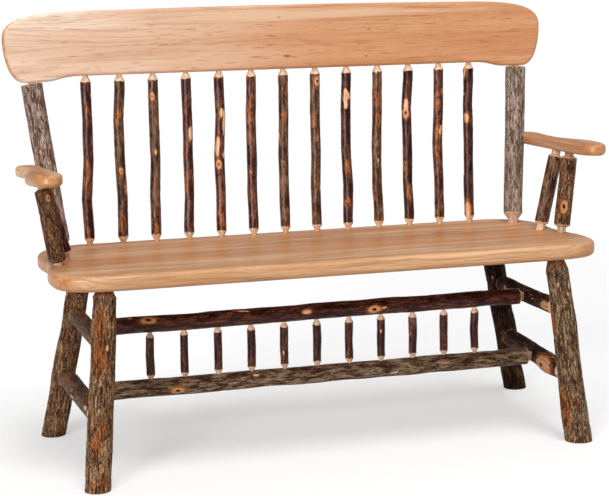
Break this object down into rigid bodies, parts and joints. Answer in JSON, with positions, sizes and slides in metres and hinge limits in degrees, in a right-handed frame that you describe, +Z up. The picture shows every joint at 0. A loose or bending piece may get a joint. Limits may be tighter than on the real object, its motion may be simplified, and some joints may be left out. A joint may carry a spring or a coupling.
{
  "type": "rustic log bench",
  "caption": "Rustic bench with a planed plank seat, arched crest rail and paddle arms on bark-on pole legs, posts, stretchers and spindles.",
  "frame": {"origin": "on the floor, under the middle of the bench's overall box", "axes": "+X towards the sitter's left, +Y towards the back of the bench, +Z up"},
  "size_m": [1.361, 0.5994, 1.0074],
  "materials": {
    "bark_hickory": "bark left on, sealed with a thin satin varnish, tips whittled bare",
    "planed_hickory": "planed, edges rounded, satin varnish"
  },
  "bodies": {
    "root": {"arm_left": "planed_hickory", "arm_post_front_left": "bark_hickory", "arm_post_front_right": "bark_hickory", "arm_post_rear_left": "bark_hickory", "arm_post_rear_right": "bark_hickory", "arm_right": "planed_hickory", "back_post_left": "bark_hickory", "back_post_right": "bark_hickory", "back_spindle_01": "bark_hickory", "back_spindle_02": "bark_hickory", "back_spindle_03": "bark_hickory", "back_spindle_04": "bark_hickory", "back_spindle_05": "bark_hickory", "back_spindle_06": "bark_hickory", "back_spindle_07": "bark_hickory", "back_spindle_08": "bark_hickory", "back_spindle_09": "bark_hickory", "back_spindle_10": "bark_hickory", "back_spindle_11": "bark_hickory", "back_spindle_12": "bark_hickory", "back_spindle_13": "bark_hickory", "crest_rail": "planed_hickory", "leg_back_left": "bark_hickory", "leg_back_right": "bark_hickory", "leg_front_left": "bark_hickory", "leg_front_right": "bark_hickory", "long_stretcher_lower": "bark_hickory", "long_stretcher_upper": "bark_hickory", "lower_spindle_01": "bark_hickory", "lower_spindle_02": "bark_hickory", "lower_spindle_03": "bark_hickory", "lower_spindle_04": "bark_hickory", "lower_spindle_05": "bark_hickory", "lower_spindle_06": "bark_hickory", "lower_spindle_07": "bark_hickory", "lower_spindle_08": "bark_hickory", "lower_spindle_09": "bark_hickory", "lower_spindle_10": "bark_hickory", "lower_spindle_11": "bark_hickory", "seat_board_1": "planed_hickory", "seat_board_2": "planed_hickory", "seat_board_3": "planed_hickory", "seat_board_4": "planed_hickory", "seat_board_5": "planed_hickory", "side_stretcher_lower_left": "bark_hickory", "side_stretcher_lower_right": "bark_hickory", "side_stretcher_upper_left": "bark_hickory", "side_stretcher_upper_right": "bark_hickory"}
  },
  "joints": []
}
